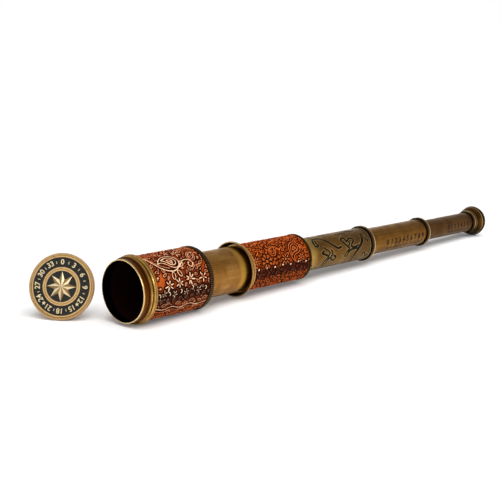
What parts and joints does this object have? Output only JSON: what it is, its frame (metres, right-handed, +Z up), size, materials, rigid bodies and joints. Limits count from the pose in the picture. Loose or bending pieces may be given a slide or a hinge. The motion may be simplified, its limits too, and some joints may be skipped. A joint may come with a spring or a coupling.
{
  "type": "spyglass",
  "caption": "Brass spyglass with leather wraps, a sliding shade, telescoping draw tubes and a plug cap, lying at full length.",
  "frame": {"origin": "on the table, straight below the centre of the front lip", "axes": "+X along the spyglass towards the eyepiece, +Y to the side where the cap stands, +Z up. The tube's own axis runs down towards the eyepiece by 1.495 degrees, because it lies on its large front bead and its eyepiece rim"},
  "size_m": [0.4988, 0.102, 0.0532],
  "materials": {
    "brass_plain": "brushed",
    "brass_antique": "aged satin",
    "brass_engraved": "aged satin, engraved",
    "brass_scale": "aged satin, engraved",
    "brass_dark": "dark patina",
    "brass_inner": "turned",
    "brass_black_lined": "blackened inside",
    "knurled_dark_brass": "dark knurled",
    "tooled_leather": "tooled, waxed",
    "optical_glass": "polished",
    "matte_black": "matte",
    "cap_brass": "satin",
    "cap_dial": "black filled, raised brass marks"
  },
  "bodies": {
    "barrel": {"barrel_tube": "brass_plain", "cup_flange": "brass_antique", "barrel_leather": "tooled_leather", "barrel_rear_collar": "knurled_dark_brass", "barrel_guide_sleeve": "brass_inner", "objective_cell": "brass_inner", "objective_crown": "optical_glass", "objective_flint": "optical_glass", "objective_retaining_ring": "brass_antique"},
    "shade": {"shade_tube": "brass_black_lined", "shade_front_ring": "brass_antique", "shade_leather": "tooled_leather", "shade_rear_collar": "knurled_dark_brass", "shade_guide_sleeve": "brass_inner"},
    "draw_1": {"draw_1_tube": "brass_engraved", "draw_1_stop_ring": "brass_inner", "draw_1_collar": "brass_antique", "draw_1_guide_sleeve": "brass_inner"},
    "draw_2": {"draw_2_tube": "brass_scale", "draw_2_stop_ring": "brass_inner", "draw_2_collar": "brass_antique", "draw_2_guide_sleeve": "brass_inner"},
    "draw_3": {"draw_3_tube": "brass_dark", "draw_3_stop_ring": "brass_inner", "erector_tube": "brass_inner", "erector_front_lens": "optical_glass", "erector_aperture": "matte_black", "erector_rear_lens": "optical_glass", "eyepiece_retaining_ring": "brass_antique", "field_lens": "optical_glass", "eyepiece_spacer": "matte_black", "eye_lens": "optical_glass", "eyepiece_cup": "brass_antique"},
    "cap": {"cap_body": "cap_brass", "cap_medallion": "cap_dial"}
  },
  "joints": [
    {"name": "shade_slide", "type": "slide", "parent": "barrel", "child": "shade", "axis": [0.9997, 0, -0.0261], "range_m": [0, 0.0452]},
    {"name": "draw_1_slide", "type": "slide", "parent": "barrel", "child": "draw_1", "axis": [-0.9997, 0, 0.0261], "range_m": [0, 0.0878]},
    {"name": "draw_2_slide", "type": "slide", "parent": "draw_1", "child": "draw_2", "axis": [-0.9997, 0, 0.0261], "range_m": [0, 0.0836]},
    {"name": "draw_3_slide", "type": "slide", "parent": "draw_2", "child": "draw_3", "axis": [-0.9997, 0, 0.0261], "range_m": [0, 0.0778]},
    {"name": "cap_lift", "type": "slide", "parent": "barrel", "child": "cap", "axis": [0, 0, 1], "range_m": [0, 0.1]}
  ]
}
